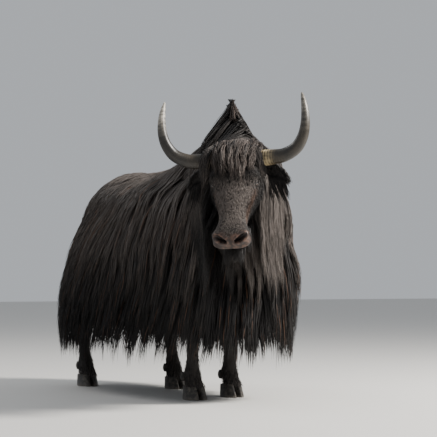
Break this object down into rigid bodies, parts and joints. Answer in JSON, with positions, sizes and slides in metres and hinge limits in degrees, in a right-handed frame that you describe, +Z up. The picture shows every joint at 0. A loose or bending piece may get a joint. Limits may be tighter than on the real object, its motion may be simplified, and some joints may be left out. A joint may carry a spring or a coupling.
{
  "type": "yak",
  "caption": "Life-size still domestic yak bull, standing with its head turned, long hanging coat, shoulder hump and upswept horns.",
  "frame": {"origin": "middle of the whole model's footprint box, on the floor", "axes": "+Z up, the body lies along Y with the head towards -Y, and +X is the animal's left"},
  "size_m": [0.9846, 2.268, 1.4115],
  "materials": {
    "coat": "long coarse black-brown hair, dusty grey-brown along the back",
    "horn": "dark olive-brown horn, polished, paler at the base and towards the tip",
    "hoof": "dull black-grey hoof horn with fine level growth lines",
    "eye": "wet, very dark brown"
  },
  "bodies": {
    "root": {"head": "coat", "neck": "coat", "hump": "coat", "shoulder_left": "coat", "shoulder_right": "coat", "flank_left": "coat", "flank_right": "coat", "haunch_left": "coat", "haunch_right": "coat", "tail": "coat", "ear_left": "coat", "ear_right": "coat", "leg_fore_left": "coat", "leg_fore_right": "coat", "leg_hind_left": "coat", "leg_hind_right": "coat", "horn_left": "horn", "horn_right": "horn", "eye_left": "eye", "eye_right": "eye", "claw_fore_left_outer": "hoof", "claw_fore_left_inner": "hoof", "claw_fore_right_outer": "hoof", "claw_fore_right_inner": "hoof", "claw_hind_left_outer": "hoof", "claw_hind_left_inner": "hoof", "claw_hind_right_outer": "hoof", "claw_hind_right_inner": "hoof", "dewclaw_fore_left_outer": "hoof", "dewclaw_fore_left_inner": "hoof", "dewclaw_fore_right_outer": "hoof", "dewclaw_fore_right_inner": "hoof", "dewclaw_hind_left_outer": "hoof", "dewclaw_hind_left_inner": "hoof", "dewclaw_hind_right_outer": "hoof", "dewclaw_hind_right_inner": "hoof"}
  },
  "joints": []
}
